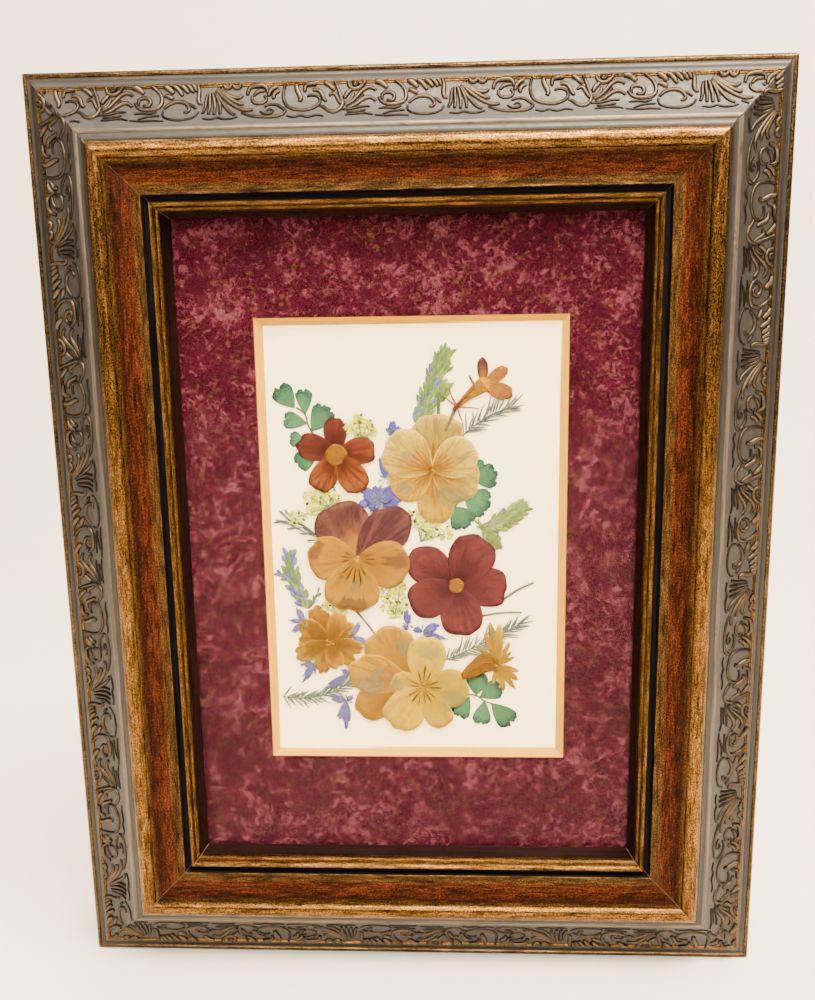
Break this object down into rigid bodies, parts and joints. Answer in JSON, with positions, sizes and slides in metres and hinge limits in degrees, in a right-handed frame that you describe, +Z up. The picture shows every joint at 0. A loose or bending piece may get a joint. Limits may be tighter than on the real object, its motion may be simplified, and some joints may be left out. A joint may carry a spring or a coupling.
{
  "type": "pressed flower frame",
  "caption": "Small portrait picture frame with carved scroll moulding in copper and pewter, holding dried pressed flowers in the window of a marbled burgundy mat.",
  "frame": {"origin": "middle of the footprint, on the surface that the frame stands on", "axes": "+Z up, the glazed front faces -Y, +X to the right as seen from the front"},
  "size_m": [0.1778, 0.0312, 0.2286],
  "materials": {
    "moulding": "copper-brown metal leaf look over dark pewter ornament, rubbed and mottled",
    "glass": "clear, smooth",
    "mat": "marbled burgundy covering paper with a leathery grain, tan bevel",
    "mount_sheet": "matte off-white",
    "backing_board": "matte grey-brown",
    "steel": "plain stamped steel",
    "kraft_paper": "brown wrapping paper",
    "rust_petal": "dried petal, dry matte, veined",
    "pale_petal": "dried petal, thin and half see-through",
    "purple_petal": "dried petal, purple with amber, dark veins",
    "burgundy_petal": "dried petal, dry matte, veined",
    "tan_petal": "dried petal, dry matte",
    "orange_petal": "dried petal, thin, dry matte",
    "yellow_petal": "dried petal, thin, dry matte",
    "amber_petal": "dried petal, dry matte",
    "fern_green": "dried leaf, matte",
    "grey_green": "dried needles, matte",
    "spike_green": "dried flower spike, matte",
    "dark_stem": "dried stem, matte",
    "cream_floret": "dried floret, matte",
    "blue_petal": "dried petal, faded violet blue"
  },
  "bodies": {
    "root": {"rail_top": "moulding", "rail_bottom": "moulding", "rail_left": "moulding", "rail_right": "moulding", "glass": "glass", "mat_board": "mat", "mount_sheet": "mount_sheet", "backing_board": "backing_board", "glazier_point_1": "steel", "glazier_point_2": "steel", "glazier_point_3": "steel", "glazier_point_4": "steel", "glazier_point_5": "steel", "glazier_point_6": "steel", "dust_cover": "kraft_paper", "hanger": "steel", "hanger_nail_left": "steel", "hanger_nail_right": "steel", "rust_flower": "rust_petal", "pale_pansy": "pale_petal", "purple_pansy": "purple_petal", "burgundy_flower": "burgundy_petal", "tan_flower": "tan_petal", "orange_pansy": "orange_petal", "yellow_pansy": "yellow_petal", "rayed_flower": "amber_petal", "tubular_bloom": "amber_petal", "fern_upper_left": "fern_green", "fern_right": "fern_green", "fern_lower_right": "fern_green", "needle_sprig_top": "grey_green", "needle_sprig_middle": "grey_green", "needle_sprig_left": "grey_green", "dark_sprig": "dark_stem", "flower_spike_top": "spike_green", "flower_spike_right": "spike_green", "flower_spike_left": "spike_green", "stems_left": "dark_stem", "stem_right": "dark_stem", "stem_lower_right": "dark_stem", "stem_centre": "dark_stem", "umbel_upper": "cream_floret", "umbel_left": "cream_floret", "umbel_middle": "cream_floret", "umbel_centre": "cream_floret", "umbel_small": "cream_floret", "blue_floret_1": "blue_petal", "blue_floret_2": "blue_petal", "blue_floret_3": "blue_petal", "blue_floret_4": "blue_petal", "blue_floret_5": "blue_petal", "blue_floret_6": "blue_petal", "blue_floret_7": "blue_petal", "blue_floret_8": "blue_petal", "blue_floret_9": "blue_petal", "blue_floret_10": "blue_petal"}
  },
  "joints": []
}
